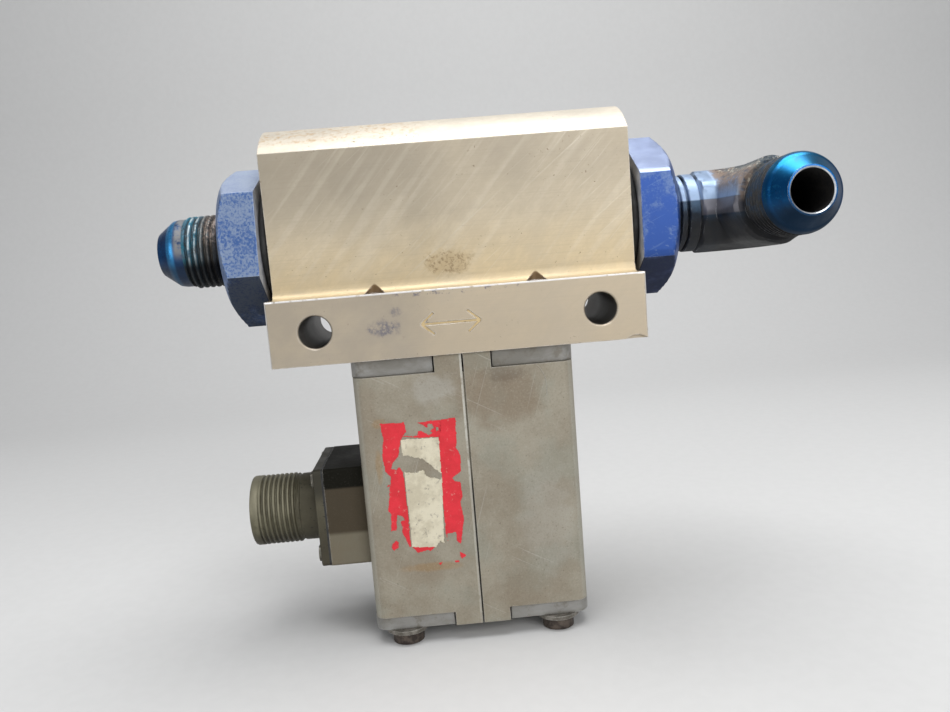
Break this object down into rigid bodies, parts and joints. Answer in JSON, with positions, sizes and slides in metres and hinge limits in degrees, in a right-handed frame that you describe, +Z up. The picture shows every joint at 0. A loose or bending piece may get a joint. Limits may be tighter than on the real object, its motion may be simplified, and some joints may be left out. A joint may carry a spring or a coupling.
{
  "type": "motor operated shut-off valve",
  "caption": "Motor-driven quarter-turn ball shut-off valve with a flanged block body, flared tube ends, a right-angle elbow and a round electrical connector.",
  "frame": {"origin": "midway between the two mounting holes, on the flange's rear mounting face", "axes": "+X along the flow line towards the elbow, +Y out of the rear mounting face along the mounting holes, +Z up towards the flow line"},
  "size_m": [0.1669, 0.0622, 0.1361],
  "materials": {
    "chem_film_aluminium": "machined, light gold chromate film, scratched and spotted",
    "blue_anodised_aluminium": "blue anodised, worn pale on the edges, grimy",
    "cast_housing": "cast, greenish tan chromate film, stained",
    "plate_aluminium": "machined, tan chromate film",
    "olive_plated_shell": "olive plated, worn",
    "screw_steel": "plated steel, dulled brown",
    "stainless_steel": "ground steel",
    "gear_steel": "cut steel, oiled",
    "gear_plate_aluminium": "clear chromate",
    "bearing_bronze": "plain bronze",
    "seat_plastic": "white low-friction plastic",
    "seal_rubber": "black rubber",
    "insert_plastic": "dark moulded insulator",
    "contact_gold": "gold plated",
    "switch_plastic": "dark brown moulding",
    "button_plastic": "red moulding",
    "motor_steel": "drawn steel, plated",
    "armature_iron": "varnished laminations"
  },
  "bodies": {
    "valve": {"valve_body": "chem_film_aluminium", "inlet_fitting": "blue_anodised_aluminium", "outlet_adapter": "blue_anodised_aluminium", "outlet_elbow": "blue_anodised_aluminium", "housing_left": "cast_housing", "housing_right": "cast_housing", "top_plate": "plate_aluminium", "bottom_plate": "plate_aluminium", "connector_shell": "olive_plated_shell", "tie_screws": "screw_steel", "tie_washers": "screw_steel", "connector_screws": "screw_steel", "second_gear_arbor": "stainless_steel", "first_gear_arbor": "stainless_steel", "inlet_seat_spring": "stainless_steel", "outlet_seat_spring": "stainless_steel", "upper_gear_plate": "gear_plate_aluminium", "lower_gear_plate": "gear_plate_aluminium", "gear_plate_posts": "gear_plate_aluminium", "stem_gland": "bearing_bronze", "upper_output_bush": "bearing_bronze", "lower_output_bush": "bearing_bronze", "motor_bearings": "bearing_bronze", "inlet_seat": "seat_plastic", "outlet_seat": "seat_plastic", "inlet_port_seal": "seal_rubber", "outlet_port_seal": "seal_rubber", "connector_gasket": "seal_rubber", "housing_gasket": "seal_rubber", "connector_insert": "insert_plastic", "connector_pins": "contact_gold", "closed_limit_switch": "switch_plastic", "open_limit_switch": "switch_plastic", "motor_case": "motor_steel", "motor_end_bell": "motor_steel"},
    "ball_drive": {"ball": "stainless_steel", "stem": "stainless_steel", "stem_seals": "seal_rubber", "output_shaft": "stainless_steel", "output_gear": "gear_steel", "output_cam": "gear_steel"},
    "second_cluster": {"second_gear_cluster": "gear_steel"},
    "first_cluster": {"first_gear_cluster": "gear_steel"},
    "motor_rotor": {"motor_shaft": "stainless_steel", "motor_armature": "armature_iron", "motor_pinion": "gear_steel"},
    "closed_button": {"closed_switch_button": "button_plastic"},
    "open_button": {"open_switch_button": "button_plastic"}
  },
  "joints": [
    {"name": "ball_turn", "type": "hinge", "parent": "valve", "child": "ball_drive", "pos_m": [0, -0.01975, 0], "axis": [0, 0, 1], "range_deg": [0, 90]},
    {"name": "second_cluster_turn", "type": "hinge", "parent": "valve", "child": "second_cluster", "pos_m": [0.01241, -0.01756, -0.03], "axis": [0, 0, 1], "range_deg": [-234.5, 0.5]},
    {"name": "first_cluster_turn", "type": "hinge", "parent": "valve", "child": "first_cluster", "pos_m": [-0.00014, -0.01646, -0.033], "axis": [0, 0, 1], "range_deg": [-1, 609.4]},
    {"name": "motor_turn", "type": "hinge", "parent": "valve", "child": "motor_rotor", "pos_m": [0.01233, -0.01822, -0.055], "axis": [0, 0, 1], "range_deg": [-1584, 2]},
    {"name": "closed_button_push", "type": "slide", "parent": "valve", "child": "closed_button", "axis": [-1, 0, 0], "range_m": [0, 0.0005], "stiffness_N_per_m": 200},
    {"name": "open_button_push", "type": "slide", "parent": "valve", "child": "open_button", "axis": [0, -1, 0], "range_m": [0, 0.0005], "stiffness_N_per_m": 200}
  ],
  "couplings": [
    {"joint": "second_cluster_turn", "follows": "ball_turn", "ratio": -2.6},
    {"joint": "first_cluster_turn", "follows": "ball_turn", "ratio": 6.76},
    {"joint": "motor_turn", "follows": "ball_turn", "ratio": -17.576}
  ]
}
